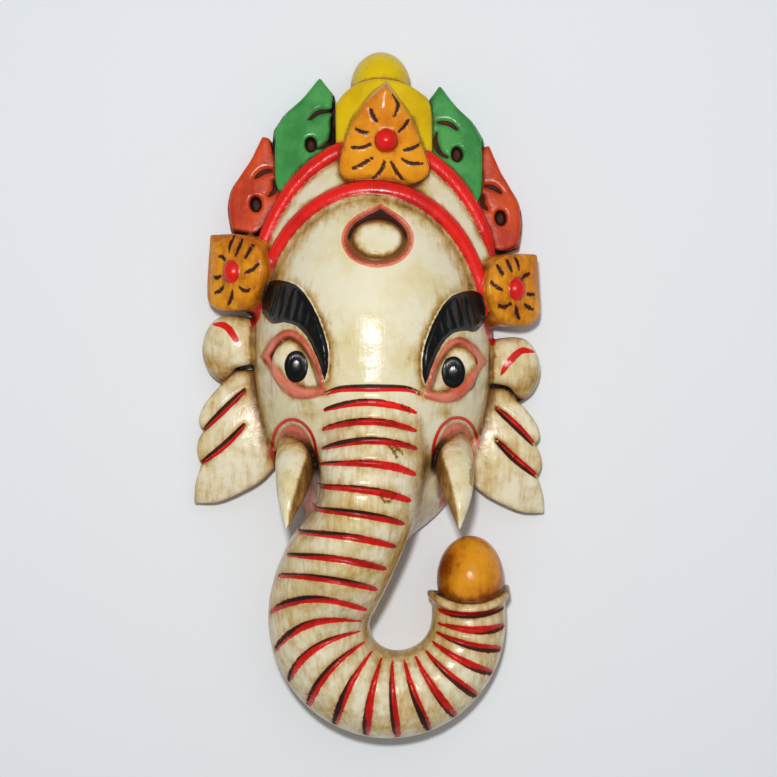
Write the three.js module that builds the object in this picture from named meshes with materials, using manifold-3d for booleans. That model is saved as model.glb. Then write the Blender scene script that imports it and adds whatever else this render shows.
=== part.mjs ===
// A painted, carved wooden mask of an elephant-headed deity, about 380 mm tall, lying on its flat back.
// The whole mask is one piece of wood: a domed head with a curling trunk, two tusks and scalloped ears,
// under a diadem of three bands with leaves, a jewel, two side flowers and a knob. The back is hollowed.
//
// Millimetres. X runs to the viewer's right, Y from the chin to the crown, and Z out of the flat back.
// Paired features are carved once, with u outward from the face and v towards the crown, and set on each side.

import * as THREE from "three";
import { mergeVertices } from "three/addons/utils/BufferGeometryUtils.js";
import Module from "manifold-3d";

const wasm = await Module();
wasm.setup();

// Driving dimensions of the large forms
const HEAD = { centre: [2, 26, 0], radii: [68, 110, 85] };
const CROWN = { centre: [4, 36, 0], radii: [78, 122, 66] };
const HOLLOW = { centre: [2, 22, 0], radii: [54, 84, 68] };
const ROOM = 400; // longer than any side of the mask, for cuts that run right through

// Diadem: two arched rolls on the crown's dome, with a fillet between them that is widest at the top
const INNER_ARCH = { centre: [2, 40], radii: [61, 71.5], roll: 4.6 };
const OUTER_ARCH = { centre: [4, 40], radii: [68.5, 97], roll: 4.4 };
const DIADEM = { under: 4.8, lowest: 46, steps: 20, sides: 6 }; // the fillet runs on under each roll

// Trunk: a straight root, a sweep to the left and a round curl that ends pointing up
const TRUNK = {
  root: [3, 14],
  bend: [2, -30],
  control: [2, -52],
  curlCentre: [14, -123.5],
  curlRadius: 41,
  curlFrom: 156,
  tip: [55, -104],
  // values at equal steps along the trunk, from root to tip
  halfWidth: [27, 28.5, 29.5, 29, 27.5, 25.5, 23.5, 21, 20],
  front: [82, 90, 97, 90, 71, 62, 55, 50, 46],
  bow: [6, 6, 4, 4, 5, 1, 0, 1, 5],
  slant: [1, 0, -5, -8, -8, -4, -2, -0.5, 0], // of the rings, towards the inner side of the curl
  flare: 1.05, // the flanks widen to the back
  sides: 9,
  archSides: 6, // of those, the ones that make the arched front
};
// distance of each carved ring from the root, along the trunk
const RINGS = [
  18, 28, 38, 50, 64, 77, 90, 103, 115, 127, 140, 153, 167, 181, 194, 206, 218, 229, 240, 250, 259, 267, 275,
];
const RING = { half: 2, deep: 2.6, least: 0.2 };
const LIP = { middle: 281, bow: 9, long: 3, rise: 0.8, proud: 2.4 }; // its middle lies lower than its sides
const SWEET = { centre: [56, -102, 25], radii: [18.5, 24, 21] };

// Sides: sign of outward X, then the anchor points of what is carved there
const SIDES = [
  {
    sign: -1,
    stretch: 1,
    ear: [-60, -20],
    lobe: [-66, 25],
    green: [-19, 136.5],
    vermilion: [-52, 113],
    flower: [-74, 68],
    eye: [-39, 16],
    socket: [-41, -25],
    tusk: [
      [-40.5, -30, 42],
      [-39.5, -41, 66],
      [-41, -55, 80],
      [-42.7, -70, 87],
    ],
  },
  {
    sign: 1,
    stretch: 0.94,
    ear: [62.3, -28],
    lobe: [70, 14],
    green: [31.5, 135],
    vermilion: [60, 105.5],
    flower: [79, 58],
    eye: [45.5, 13],
    socket: [47.2, -24.4],
    tusk: [
      [46.5, -29, 40],
      [46.5, -41, 64],
      [48, -55, 78],
      [48, -70, 85],
    ],
  },
];

const WHOLE = { sign: 1, stretch: 1 }; // for what sits on the middle line

// Outlines of the paired carvings, in (u, v) from their anchors: runs of points that meet at corners
const EAR = {
  runs: [
    [[-8, 31], [14, 34], [23, 25], [32, 14], [35, 5], [32, 0]],
    [[35, -5], [36, -12], [33.5, -19]],
    [[37, -30], [38, -41]],
    [[24, -40], [10, -34], [0, -28], [-8, -20]],
  ],
  high: 21,
  dome: { at: [8, -6], radii: [46, 58] },
  cuts: [
    [[13, 22], [22, 9], [32, 0]],
    [[13, 2], [21, -10], [34, -19]],
  ],
  cutHalf: 1.6,
  cutDeep: 3,
};
const LOBE = {
  runs: [
    [[-6, 17], [10, 19], [19, 17], [25, 9], [27, -2], [23, -13], [16, -19]],
    [[12, -15], [7, -10], [-6, -8]],
  ],
  high: 27,
  dome: { at: [8, 2], radii: [24, 27] },
};
const GREEN_LEAF = {
  runs: [
    [[0, 29], [8, 39]],
    [[17, 28], [27, 20], [34, 10]],
    [[35, -4], [33, -24], [20, -30], [0, -12]],
  ],
  high: 33,
  slope: -0.16,
  scroll: [[2, 3], [3, 10], [9, 13], [16, 9]],
  pit: [12.5, 4],
};
const VERMILION_LEAF = {
  runs: [
    [[3, 29], [7, 30]],
    [[13, 18], [19, 10], [25, 1], [27, -10], [25, -23]],
    [[10, -24], [-6, -8], [-4, 10]],
  ],
  high: 27,
  slope: -0.1,
  scroll: [[1, 6], [6, 8], [12, 4]],
  pit: [8, -10],
};
const SCROLL = { half: 1.6, deep: 2.2 };
const PIT = { radii: [3.4, 4.4], deep: 9 };

// Flowers: slabs that face outward, around a bead, with curved cuts between the petals
const PETAL_CUT = { half: 0.9, deep: 1.5, curl: 0.12, clear: 20 };
const FLOWER = {
  runs: [
    [[18, 21]],
    [[-4, 20], [-17, 11], [-20, -1], [-14, -14], [-4, -20], [10, -21], [19, -16], [20, -6]],
  ],
  thick: 12,
  root: 40, // how far the slab runs back into the wood
  swell: 2,
  dome: [75, 80],
  turn: 0.6,
  middle: 43,
  bead: { radius: 6.5, proud: 6, sunk: 1 },
  petals: 8,
  petalFrom: 8,
  petalTo: 17,
};
const JEWEL = {
  at: [9.5, 140.2, 49],
  runs: [
    [
      [13, 11.7], [21, -8.3], [23, -19.3], [13, -25.8], [0, -27.3],
      [-18, -25.3], [-25.5, -15.3], [-19, 6.7], [-10, 20.7], [0.3, 29],
    ],
  ],
  thick: 12,
  root: 10,
  swell: 2,
  dome: [55, 70],
  lean: 0.3,
  bead: { radius: 6.2, proud: 7, sunk: 1 },
  petals: 9,
  petalFrom: 8,
  petalTo: 18,
};
const PANEL = {
  at: [8, 132],
  runs: [
    [[27, -2], [26, 26], [20, 34], [10, 39], [-2, 41], [-13, 39], [-21, 34], [-26.5, 27]],
    [[-26, -2]],
  ],
  high: 45,
  dome: { at: [0, 0], radii: [48, 80] },
};
const KNOB = { centre: [6.5, 171, 8], radii: [17, 19, 19] };

// Face: what is carved on the head's dome
const BROW = {
  runs: [
    [[14, 35], [21, 43], [9, 46], [-2, 40], [-10, 28], [-16.5, 10], [-16, -8]],
    [[-10, 6], [-4, 17], [2, 21], [8, 22.5], [14, 23.5]],
  ],
  proud: 2.2,
};
const LID = {
  runs: [
    [[20, 5], [13, 14], [5, 19], [-4, 15], [-12, 2], [-17, -16]],
    [[-5, -18], [4, -16], [11, -9], [16, 0]],
  ],
  open: [[14, 4], [9, 12], [3, 15], [-4, 10], [-10, 1], [-13, -11], [-4, -12], [6, -7]],
  proud: 2.4,
};
const EYE = { radii: [12, 14, 9], sink: 6 };
const PUPIL = { radii: [6.6, 8.6], proud: 1.2 };
const SOCKET = { radii: [13, 19, 8], below: 3 };
const TUSK = { radius: [9.5, 10.5, 8, 1.2], sides: 10, steps: 12 };
const THIRD_EYE = {
  at: [5.5, 84],
  inner: [14, 10.5],
  outer: [18.5, 14.5],
  gable: 9,
  peak: [6.5, 101.5],
  deep: 2.6,
};
const BROW_LINE = { points: [[-24, 0], [-14, 3], [3, 3.5], [20, 3], [29, 0]], half: 1.8, deep: 2.5 };

// A solid from a geometry whose shared vertices are welded
function solid(geometry) {
  const bare = geometry.clone();
  bare.deleteAttribute("normal");
  bare.deleteAttribute("uv");
  const welded = mergeVertices(bare, 1e-4);
  const mesh = new wasm.Mesh({
    numProp: 3,
    vertProperties: welded.attributes.position.array,
    triVerts: new Uint32Array(welded.index.array),
  });
  return new wasm.Manifold(mesh);
}

function joined(solids) {
  return solids.reduce((sum, next) => sum.add(next));
}

// An ellipsoid, grown or shrunk by an offset
function ellipsoidGeometry({ centre, radii }, grow = 0, around = 24, down = 14) {
  const geometry = new THREE.SphereGeometry(1, around, down);
  geometry.rotateX(Math.PI / 2);
  geometry.scale(...radii.map((r) => r + grow));
  return geometry.translate(...centre);
}

function ellipsoid(...args) {
  return solid(ellipsoidGeometry(...args));
}

// A closed shape from runs of points: smooth along a run, with a corner where runs meet
function outline(runs) {
  const start = runs[0][0];
  const shape = new THREE.Shape().moveTo(...start);
  runs.forEach((run, i) => {
    const points = i === 0 ? run.slice(1) : run;
    if (points.length === 1) shape.lineTo(...points[0]);
    else if (points.length) shape.splineThru(points.map((p) => new THREE.Vector2(...p)));
  });
  return shape;
}

// The same runs set on one side of the face
function placed(runs, anchor, side) {
  return runs.map((run) =>
    run.map(([u, v]) => [anchor[0] + side.sign * u * side.stretch, anchor[1] + v * side.stretch]),
  );
}

function ellipseShape([x, y], [rx, ry], turn = 0, sides = 14) {
  const points = new THREE.EllipseCurve(x, y, rx, ry, 0, 2 * Math.PI, false, turn).getPoints(sides);
  return new THREE.Shape(points.slice(0, sides));
}

// A long cut that is widest in the middle and runs out to a point at both ends
function stroke(points, half, samples = 3) {
  const line = new THREE.SplineCurve(points.map((p) => new THREE.Vector2(...p)));
  const left = [];
  const right = [];
  for (let i = 0; i <= samples; i++) {
    const t = i / samples;
    const at = line.getPoint(t);
    const along = line.getTangent(t);
    const width = half * Math.sqrt(Math.sin(Math.PI * t)) + 0.05;
    left.push(new THREE.Vector2(at.x - along.y * width, at.y + along.x * width));
    right.unshift(new THREE.Vector2(at.x + along.y * width, at.y - along.x * width));
  }
  return new THREE.Shape([...left, ...right]);
}

// A shape pushed out along Z between two heights
function prismGeometry(shape, low, high, curveSegments = 2) {
  const geometry = new THREE.ExtrudeGeometry(shape, { depth: high - low, bevelEnabled: false, curveSegments });
  geometry.translate(0, 0, low);
  return geometry;
}

function prism(...args) {
  return solid(prismGeometry(...args));
}

const throughCut = (shape, curveSegments = 1) => prism(shape, -ROOM, ROOM, curveSegments);

// A plate that stands on the back plane, with its front sloping along v or rounded to a dome
function plate(runs, { high, slope = 0, dome }, anchor, side) {
  const geometry = prismGeometry(outline(placed(runs, anchor, side)), -1, high);
  const position = geometry.attributes.position;
  for (let i = 0; i < position.count; i++) {
    const z = position.getZ(i);
    if (z > 0) position.setZ(i, z + slope * (position.getY(i) - anchor[1]));
  }
  if (!dome) return solid(geometry);
  const [x, y] = placed([[dome.at]], anchor, side)[0][0];
  const cap = { centre: [x, y, 0], radii: [...dome.radii, high] };
  return solid(geometry).intersect(ellipsoid(cap, 0, 16, 10));
}

// A dome with part of its surface raised, or cut back, inside a shape seen from the front
const raised = (dome, shape, proud, ...facets) =>
  ellipsoid(dome, proud, ...facets).intersect(throughCut(shape));
const recess = (dome, shape, deep) => throughCut(shape).subtract(ellipsoid(dome, -deep));

// Values given at equal steps, eased between them
function along(values, t) {
  return new THREE.SplineCurve(values.map((v, i) => new THREE.Vector2(i, v))).getPoint(t).y;
}

function trunkLine() {
  const v = (p) => new THREE.Vector2(...p);
  const [cx, cy] = TRUNK.curlCentre;
  const from = THREE.MathUtils.degToRad(TRUNK.curlFrom);
  const curl = new THREE.EllipseCurve(cx, cy, TRUNK.curlRadius, TRUNK.curlRadius, from, 2 * Math.PI);
  const path = new THREE.CurvePath();
  path.add(new THREE.LineCurve(v(TRUNK.root), v(TRUNK.bend)));
  path.add(new THREE.QuadraticBezierCurve(v(TRUNK.bend), v(TRUNK.control), curl.getPoint(0)));
  path.add(curl);
  path.add(new THREE.LineCurve(curl.getPoint(1), v(TRUNK.tip)));
  return path;
}

// The trunk's path, measured once: a point, the direction to its inner side, and its length
const TRUNK_PATH = trunkLine();
const TRUNK_LENGTH = TRUNK_PATH.getLength();
const LOOK = 0.004; // share of the trunk over which its direction is taken
function trunkFrame(t) {
  const at = TRUNK_PATH.getPointAt(t);
  const ahead = TRUNK_PATH.getPointAt(Math.min(t + LOOK, 1));
  const behind = TRUNK_PATH.getPointAt(Math.max(t - LOOK, 0));
  const forward = ahead.sub(behind).normalize();
  return { at, inner: new THREE.Vector2(-forward.y, forward.x) };
}

// Rows of the trunk's surface: three to a ring, and three for the lip at the tip
function trunkRows() {
  const rows = [{ distance: 0 }];
  for (const distance of RINGS) {
    for (const edge of [-1, 0, 1]) rows.push({ distance, edge });
  }
  const lip = LIP.middle - LIP.long;
  const { bow } = LIP;
  return [
    ...rows,
    { distance: lip - LIP.rise, bow },
    { distance: lip, bow, proud: LIP.proud },
    { distance: LIP.middle, bow, proud: LIP.proud },
  ];
}

// The trunk: an arched front on straight flanks down to the back plane, with a cut at each ring's middle row.
// A ring is slanted and bowed, its middle nearer the root, and narrows to nothing at its ends.
function trunk() {
  const rows = trunkRows();
  const geometry = new THREE.CylinderGeometry(1, 1, 1, TRUNK.sides, rows.length - 1);
  const position = geometry.attributes.position;
  const archEnd = (Math.PI * TRUNK.archSides) / TRUNK.sides;
  for (let i = 0; i < position.count; i++) {
    const row = rows[Math.round((0.5 - position.getY(i)) * (rows.length - 1))];
    const { distance, edge, proud = 0 } = row;
    const angle = Math.atan2(position.getX(i), position.getZ(i));
    const rim = Math.hypot(position.getX(i), position.getZ(i)) > 0.5 ? 1 : 0;
    const onArch = Math.abs(angle) < archEnd + 0.01;
    const turn = (angle / archEnd) * (Math.PI / 2);
    const u = rim * (onArch ? Math.sin(turn) : Math.sign(angle));
    const fade = Math.sqrt(Math.max(0, 1 - u * u));
    const bow = row.bow ?? along(TRUNK.bow, distance / TRUNK_LENGTH);
    const slant = row.bow ? 0 : along(TRUNK.slant, distance / TRUNK_LENGTH);
    const width = (edge ?? 0) * RING.half * Math.max(fade, RING.least);
    const t = THREE.MathUtils.clamp((distance + bow * u * u + slant * u + width) / TRUNK_LENGTH, 0, 1);
    const { at, inner } = trunkFrame(t);
    const cut = edge === 0 ? RING.deep * fade : 0;
    const half = along(TRUNK.halfWidth, t) + proud;
    const spring = along(TRUNK.front, t) - along(TRUNK.halfWidth, t);
    const flank = Math.sign(angle) * TRUNK.flare * half;
    const across = onArch ? rim * (half - cut) * Math.sin(turn) : rim * flank;
    const high = onArch ? spring + rim * (half - cut) * Math.cos(turn) : -1;
    position.setXYZ(i, at.x + inner.x * across, at.y + inner.y * across, high);
  }
  return solid(geometry);
}

// A tusk: a cylinder drawn along a curve and down to a point
function tusk(side) {
  const line = new THREE.CatmullRomCurve3(side.tusk.map((p) => new THREE.Vector3(...p)));
  const frames = line.computeFrenetFrames(TUSK.steps);
  const geometry = new THREE.CylinderGeometry(1, 1, 1, TUSK.sides, TUSK.steps);
  const position = geometry.attributes.position;
  for (let i = 0; i < position.count; i++) {
    const t = 0.5 - position.getY(i);
    const step = Math.round(t * TUSK.steps);
    const radius = along(TUSK.radius, t);
    const at = line.getPoint(t);
    at.addScaledVector(frames.normals[step], position.getX(i) * radius);
    at.addScaledVector(frames.binormals[step], position.getZ(i) * radius);
    position.setXYZ(i, at.x, at.y, at.z);
  }
  return solid(geometry);
}

// Cuts between petals, curving the same way round the bead
function petalCuts({ petals, petalFrom, petalTo, thick }, place) {
  const cuts = [];
  for (let i = 0; i < petals; i++) {
    const angle = ((i + 0.5) / petals) * 2 * Math.PI;
    const point = (radius, lag) => [radius * Math.cos(angle + lag), radius * Math.sin(angle + lag)];
    const line = [point(petalFrom, 0), point((petalFrom + petalTo) / 2, PETAL_CUT.curl), point(petalTo, 0)];
    const shape = stroke(line, PETAL_CUT.half, 2);
    const cut = prismGeometry(shape, thick - PETAL_CUT.deep, thick + PETAL_CUT.clear);
    cuts.push(solid(cut.applyMatrix4(place)));
  }
  return joined(cuts);
}

// A slab with petals and a bead, drawn flat and set in place by a matrix
function blossom(form, runs, place) {
  const { radius, proud } = form.bead;
  const set = (geometry) => solid(geometry.applyMatrix4(place));
  const slab = set(prismGeometry(outline(runs), -form.root, form.thick, 1));
  const front = { centre: [0, 0, -form.root], radii: [...form.dome, form.root + form.thick + form.swell] };
  const cushion = set(ellipsoidGeometry(front, 0, 16, 10));
  const bead = { centre: [0, 0, form.thick - form.bead.sunk], radii: [radius, radius, proud] };
  return slab.intersect(cushion).subtract(petalCuts(form, place)).add(set(ellipsoidGeometry(bead, 0, 12, 6)));
}

function flower(side) {
  const place = new THREE.Matrix4()
    .makeTranslation(...side.flower, FLOWER.middle)
    .multiply(new THREE.Matrix4().makeRotationY(FLOWER.turn * side.sign))
    .multiply(new THREE.Matrix4().makeTranslation(0, 0, -FLOWER.thick));
  return blossom(FLOWER, placed(FLOWER.runs, [0, 0], side), place);
}

function jewel() {
  const place = new THREE.Matrix4()
    .makeTranslation(...JEWEL.at)
    .multiply(new THREE.Matrix4().makeRotationX(-JEWEL.lean));
  return blossom(JEWEL, JEWEL.runs, place);
}

const domeHeight = ({ centre, radii }, x, y) => {
  const reach = 1 - ((x - centre[0]) / radii[0]) ** 2 - ((y - centre[1]) / radii[1]) ** 2;
  return radii[2] * Math.sqrt(Math.max(0, reach));
};

// A round roll that lies on the crown's dome along the upper half of an arch
function roll({ centre, radii, roll: radius }) {
  const points = new THREE.EllipseCurve(...centre, ...radii, 0, Math.PI)
    .getPoints(DIADEM.steps)
    .map(({ x, y }) => new THREE.Vector3(x, y, domeHeight(CROWN, x, y)));
  const geometry = new THREE.ExtrudeGeometry(ellipseShape([0, 0], [radius, radius], 0, DIADEM.sides), {
    extrudePath: new THREE.CatmullRomCurve3(points),
    steps: DIADEM.steps,
  });
  return solid(geometry);
}

// The diadem: the rolls and the fillet, above the forehead
function diadem() {
  const inside = ({ centre, radii }, grow) =>
    throughCut(ellipseShape(centre, radii.map((r) => r + grow), 0, 26));
  const upper = solid(new THREE.BoxGeometry(ROOM, ROOM, ROOM).translate(0, DIADEM.lowest + ROOM / 2, 0));
  const strip = inside(OUTER_ARCH, DIADEM.under).subtract(inside(INNER_ARCH, -DIADEM.under));
  const fillet = ellipsoid(CROWN).intersect(strip).intersect(upper);
  return joined([fillet, roll(INNER_ARCH), roll(OUTER_ARCH)]);
}

function leaf(form, anchor, side) {
  const body = plate(form.runs, form, anchor, side);
  const [px, py] = placed([[form.pit]], anchor, side)[0][0];
  const floor = form.high + form.slope * (py - anchor[1]);
  const scroll = placed([form.scroll], anchor, side)[0];
  const pit = prism(ellipseShape([px, py], PIT.radii), floor - PIT.deep, ROOM);
  return body.subtract(pit).subtract(prism(stroke(scroll, SCROLL.half), floor - SCROLL.deep, ROOM));
}

function ear(side) {
  const fan = plate(EAR.runs, EAR, side.ear, side);
  const cuts = EAR.cuts.map((line) => {
    const points = placed([line], side.ear, side)[0];
    return prism(stroke(points, EAR.cutHalf), EAR.high - EAR.cutDeep, ROOM);
  });
  return fan.subtract(joined(cuts)).add(plate(LOBE.runs, LOBE, side.lobe, side));
}

// An eye: a raised brow and lids, an opening cut through the lids, and the ball and pupil set in it
function eye(side) {
  const brow = raised(HEAD, outline(placed(BROW.runs, side.eye, side)), BROW.proud);
  const lids = raised(HEAD, outline(placed(LID.runs, side.eye, side)), LID.proud);
  const opening = recess(HEAD, outline(placed([LID.open], side.eye, side)), LID.proud);
  const ball = { centre: [...side.eye, domeHeight(HEAD, ...side.eye) - EYE.sink], radii: EYE.radii };
  const pupil = raised(ball, ellipseShape(side.eye, PUPIL.radii, 0, 10), PUPIL.proud, 12, 6);
  return { rims: brow.add(lids), opening, ball: ellipsoid(ball, 0, 12, 6).add(pupil) };
}

// The hollow that a tusk grows from
function socket({ socket: [x, y] }) {
  const centre = [x, y - SOCKET.below, domeHeight(HEAD, x, y - SOCKET.below)];
  return ellipsoid({ centre, radii: SOCKET.radii }, 0, 16, 8);
}

// The oval on the forehead stands in a groove that rises to a peak
function thirdEyeGroove() {
  const [x, y] = THIRD_EYE.at;
  const peak = new THREE.Shape()
    .moveTo(x - THIRD_EYE.gable, y + THIRD_EYE.inner[1])
    .lineTo(x + THIRD_EYE.gable, y + THIRD_EYE.inner[1])
    .lineTo(...THIRD_EYE.peak);
  const groove = throughCut(ellipseShape(THIRD_EYE.at, THIRD_EYE.outer))
    .add(throughCut(peak))
    .subtract(throughCut(ellipseShape(THIRD_EYE.at, THIRD_EYE.inner)));
  return groove.subtract(ellipsoid(HEAD, -THIRD_EYE.deep));
}

function mask() {
  const eyes = SIDES.map(eye);
  const face = joined([ellipsoid(HEAD), ...eyes.map((e) => e.rims)])
    .subtract(joined([...eyes.map((e) => e.opening), ...SIDES.map(socket), thirdEyeGroove()]))
    .add(joined(eyes.map((e) => e.ball)));
  const carved = joined([
    face,
    trunk(),
    diadem(),
    plate(PANEL.runs, PANEL, PANEL.at, WHOLE),
    ellipsoid(KNOB, 0, 12, 10),
    jewel(),
    ellipsoid(SWEET, 0, 16, 8),
    ...SIDES.flatMap((side) => [
      ear(side),
      leaf(GREEN_LEAF, side.green, side),
      leaf(VERMILION_LEAF, side.vermilion, side),
      flower(side),
      tusk(side),
    ]),
  ]);
  const browLine = recess(HEAD, stroke(BROW_LINE.points, BROW_LINE.half), BROW_LINE.deep);
  const below = solid(new THREE.BoxGeometry(ROOM, ROOM, ROOM).translate(0, 0, -ROOM / 2));
  return carved.subtract(browLine).subtract(ellipsoid(HOLLOW, 0, 20, 12)).subtract(below);
}

// A manifold solid back as a three.js geometry
function geometryOf(made) {
  const { vertProperties, triVerts } = made.getMesh();
  const geometry = new THREE.BufferGeometry();
  geometry.setAttribute("position", new THREE.BufferAttribute(vertProperties, 3));
  geometry.setIndex(new THREE.BufferAttribute(triVerts, 1));
  geometry.computeVertexNormals();
  return geometry;
}

const paintedWood = new THREE.MeshStandardMaterial({ color: 0xd9cda6, roughness: 0.35, metalness: 0 });
const model = new THREE.Group();
const maskMesh = new THREE.Mesh(geometryOf(mask()), paintedWood);
maskMesh.name = "mask";
model.add(maskMesh);

export default model;
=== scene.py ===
"""A carved, painted and lacquered wooden mask of an elephant-headed deity, lying on its back.

The carving is a distance field: each form is a function that gives the distance from any point to its
surface, and the mask is their union, cut off flat at the back and hollowed. The field is meshed once, and
the paint is stored on the mesh's points as distances to the edges of each painted shape, which the material
turns into colour.

Sizes are millimetres of a mask 380 mm tall, in the frame's axes: X to the viewer's right, Y to the crown
and Z up. Paired forms are drawn once, with u outward from the face and v towards the crown, and set on each
side.
"""

import math

import bpy
import numpy as np
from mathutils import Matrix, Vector


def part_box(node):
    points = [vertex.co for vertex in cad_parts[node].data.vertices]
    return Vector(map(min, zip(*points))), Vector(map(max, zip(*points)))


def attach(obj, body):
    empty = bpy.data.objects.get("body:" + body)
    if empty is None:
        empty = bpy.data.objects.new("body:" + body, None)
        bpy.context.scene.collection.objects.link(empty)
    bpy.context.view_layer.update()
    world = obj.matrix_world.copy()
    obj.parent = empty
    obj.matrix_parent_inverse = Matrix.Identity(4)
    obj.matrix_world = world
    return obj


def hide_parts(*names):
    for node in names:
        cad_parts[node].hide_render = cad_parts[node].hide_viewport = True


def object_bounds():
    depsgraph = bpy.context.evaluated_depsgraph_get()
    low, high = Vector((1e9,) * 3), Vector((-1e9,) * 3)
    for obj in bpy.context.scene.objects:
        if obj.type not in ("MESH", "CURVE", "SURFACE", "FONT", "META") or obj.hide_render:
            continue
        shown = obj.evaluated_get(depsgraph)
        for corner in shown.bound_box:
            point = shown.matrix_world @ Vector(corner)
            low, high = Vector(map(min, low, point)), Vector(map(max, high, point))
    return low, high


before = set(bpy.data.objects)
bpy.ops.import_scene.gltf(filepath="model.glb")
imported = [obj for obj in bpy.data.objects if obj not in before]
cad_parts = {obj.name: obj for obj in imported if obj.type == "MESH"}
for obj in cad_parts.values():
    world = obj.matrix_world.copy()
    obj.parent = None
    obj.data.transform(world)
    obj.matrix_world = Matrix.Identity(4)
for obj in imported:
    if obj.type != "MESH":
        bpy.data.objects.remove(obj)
cad_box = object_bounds()
low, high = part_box("mask")
NOMINAL_HEIGHT = 379.72
MM = (high.y - low.y) / NOMINAL_HEIGHT  # one millimetre of the design, in metres
DEPTH = 97.0

# Meshing: the fine step, and the coarse one that finds where the surface runs
STEP = 1.37
COARSE = 5
CLOSE = 1.9  # how many coarse steps from the surface the fine ones begin
MARGIN = 8.0
REACH = 13.0  # how far outside its own box a form is still evaluated
FAR = 30.0
SETTLE = 0.9  # the share of its distance by which a point moves to the surface
SLOPE_STEP = 0.4
TRIANGLES = 195000

# Large forms
HEAD = {"centre": (2, 26, 0), "radii": (68, 110, 85)}
CROWN = {"centre": (4, 36, 0), "radii": (78, 122, 66)}
HOLLOW = {"centre": (2, 22, 0), "radii": (54, 84, 68)}
INNER_ARCH = {"centre": (2, 40), "radii": (61, 70.5), "roll": 5.6, "from": 0.06, "to": 2.94}
OUTER_ARCH = {"centre": (4, 40), "radii": (68.5, 97), "roll": 5.4, "from": 0.36, "to": 2.84}
# A roll's thickness: its least share, what its ends and its middle add, and where they begin
ROLL = {"least": 0.4, "ends": 0.42, "middle": 0.18, "ends_to": 0.09, "middle_from": 0.05}
DIADEM_LOWEST = 46
FILLET_PAST = 4.5  # how far the fillet goes under the rolls
BLEND = {"trunk": 7.0, "fillet": 6.0, "hollow": 3.0}

# Trunk
TRUNK = {
    "root": (3, 14), "bend": (2, -30), "control": (2, -52), "tip": (55, -104),
    "curl_centre": (14, -123.5), "curl_radius": 41, "curl_from": 156,
    "half_width": (27, 28.5, 29.5, 29, 27.5, 25.5, 23.5, 21, 20),
    "front": (82, 90, 97, 90, 71, 62, 55, 50, 46),
    "bow": (6, 6, 4, 4, 5, 1, 0, 1, 5),
    "slant": (1, 0, -5, -8, -8, -4, -2, -0.5, 0),
    "flare": 1.05, "spread": 22, "buried": 20, "drop": 14,
}
RINGS = (
    18, 28, 38, 50, 64, 77, 90, 103, 115, 127, 140, 153,
    167, 181, 194, 206, 218, 229, 240, 250, 259, 267, 275,
)
RING = {"half": 2.1, "deep": 2.0, "middle": -0.05, "reach": 0.9, "below": 4}
RIM = {"middle": 281, "bow": 6, "long": 4.5, "proud": 2.8, "step": 1.5, "soft": 4.0}
NIP = {"at": 80, "long": 17, "deep": 9.5}  # the outer flank draws in behind the tusk
UNDERCUT = {"deep": 6.0, "from": 105, "to": 140, "soft": 10}  # the inside of the curl draws back below
SWEET = {"centre": (56, -102, 25), "radii": (18.5, 24, 21)}

SIDES = (
    {
        "sign": -1, "stretch": 1.0,
        "ear": (-60, -20), "shade": (0.0, 1.3), "lobe": (-66, 25),
        "lobe_stroke": ((-87, 39), (-79.5, 38), (-74.3, 31.7), (-71.7, 26.5)),
        "green": (-19, 136.5), "vermilion": (-52, 113),
        "tall": {"green": 1.0, "vermilion": 1.0},
        "scrolls": {"green": (0, 0), "vermilion": (0, 0)},
        "flower": (-74.7, 67), "strip": ((-58.5, 60), (-62, 48), (-64.5, 38)),
        "eye": (-39, 16), "pupil": (-38.5, 15),
        "socket": (-41, -32.5), "gum": ((-33, -60), (4.5, 9)),
        "tusk": ((-40.5, -30, 42), (-39.5, -41, 66), (-41, -55, 80), (-42.7, -70, 87)),
    },
    {
        "sign": 1, "stretch": 0.94,
        "ear": (62.3, -28), "shade": (-0.6, -1.2), "lobe": (70, 14),
        "lobe_stroke": ((92.3, 23.6), (83.8, 23.9), (76, 16), (72.7, 10.2)),
        "green": (31.5, 131.6), "vermilion": (60, 105.5),
        "tall": {"green": 1.08, "vermilion": 1.15},
        "scrolls": {"green": (5, -0.4), "vermilion": (3, -0.5)},
        "flower": (80.7, 57.5), "strip": ((63, 62), (66, 46), (68.5, 27)),
        "eye": (45.5, 13), "pupil": (45.5, 12),
        "socket": (48, -31.5), "gum": ((41.5, -60.5), (2.6, 7)),
        "tusk": ((46.5, -29, 40), (46.5, -41, 64), (48, -55, 78), (48, -70, 85)),
    },
)

# Outlines in (u, v) from their anchors: runs of points, smooth along a run, with corners where runs meet
EAR = {
    "runs": (
        ((-8, 31), (14, 34), (23, 25), (32, 14), (35, 5), (32, 0)),
        ((35, -5), (36, -12), (33.5, -19)),
        ((37, -30), (38, -41)),
        ((24, -40), (10, -34), (0, -28), (-8, -20)),
    ),
    "high": 21, "dome": ((8, -6), (46, 58)),
    "cuts": (((8, 23), (20, 12), (32, 0)), ((8, 4), (20, -8), (34, -19))),
}
LOBE = {
    "runs": (
        ((-6, 17), (10, 19), (19, 17), (25, 9), (27, -2), (23, -13), (16, -19)),
        ((12, -15), (7, -10), (-6, -8)),
    ),
    "high": 27, "dome": ((8, 2), (26, 29)),
}
GREEN_LEAF = {
    "runs": (
        ((0, 29), (8, 39)),
        ((17, 28), (27, 20), (34, 10)),
        ((35, -4), (33, -24), (20, -30), (0, -12)),
    ),
    "high": 33, "slope": -0.16, "ridge": 12, "fold": 0.12,
    "crescents": (
        ((14.5, 14.5), (8.5, 19), (0.5, 20)),
        ((1.5, 16), (0.5, 9), (2, 3.5), (5.5, 0), (10, -1.5)),
    ),
    "pit": (13, 1),
}
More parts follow.
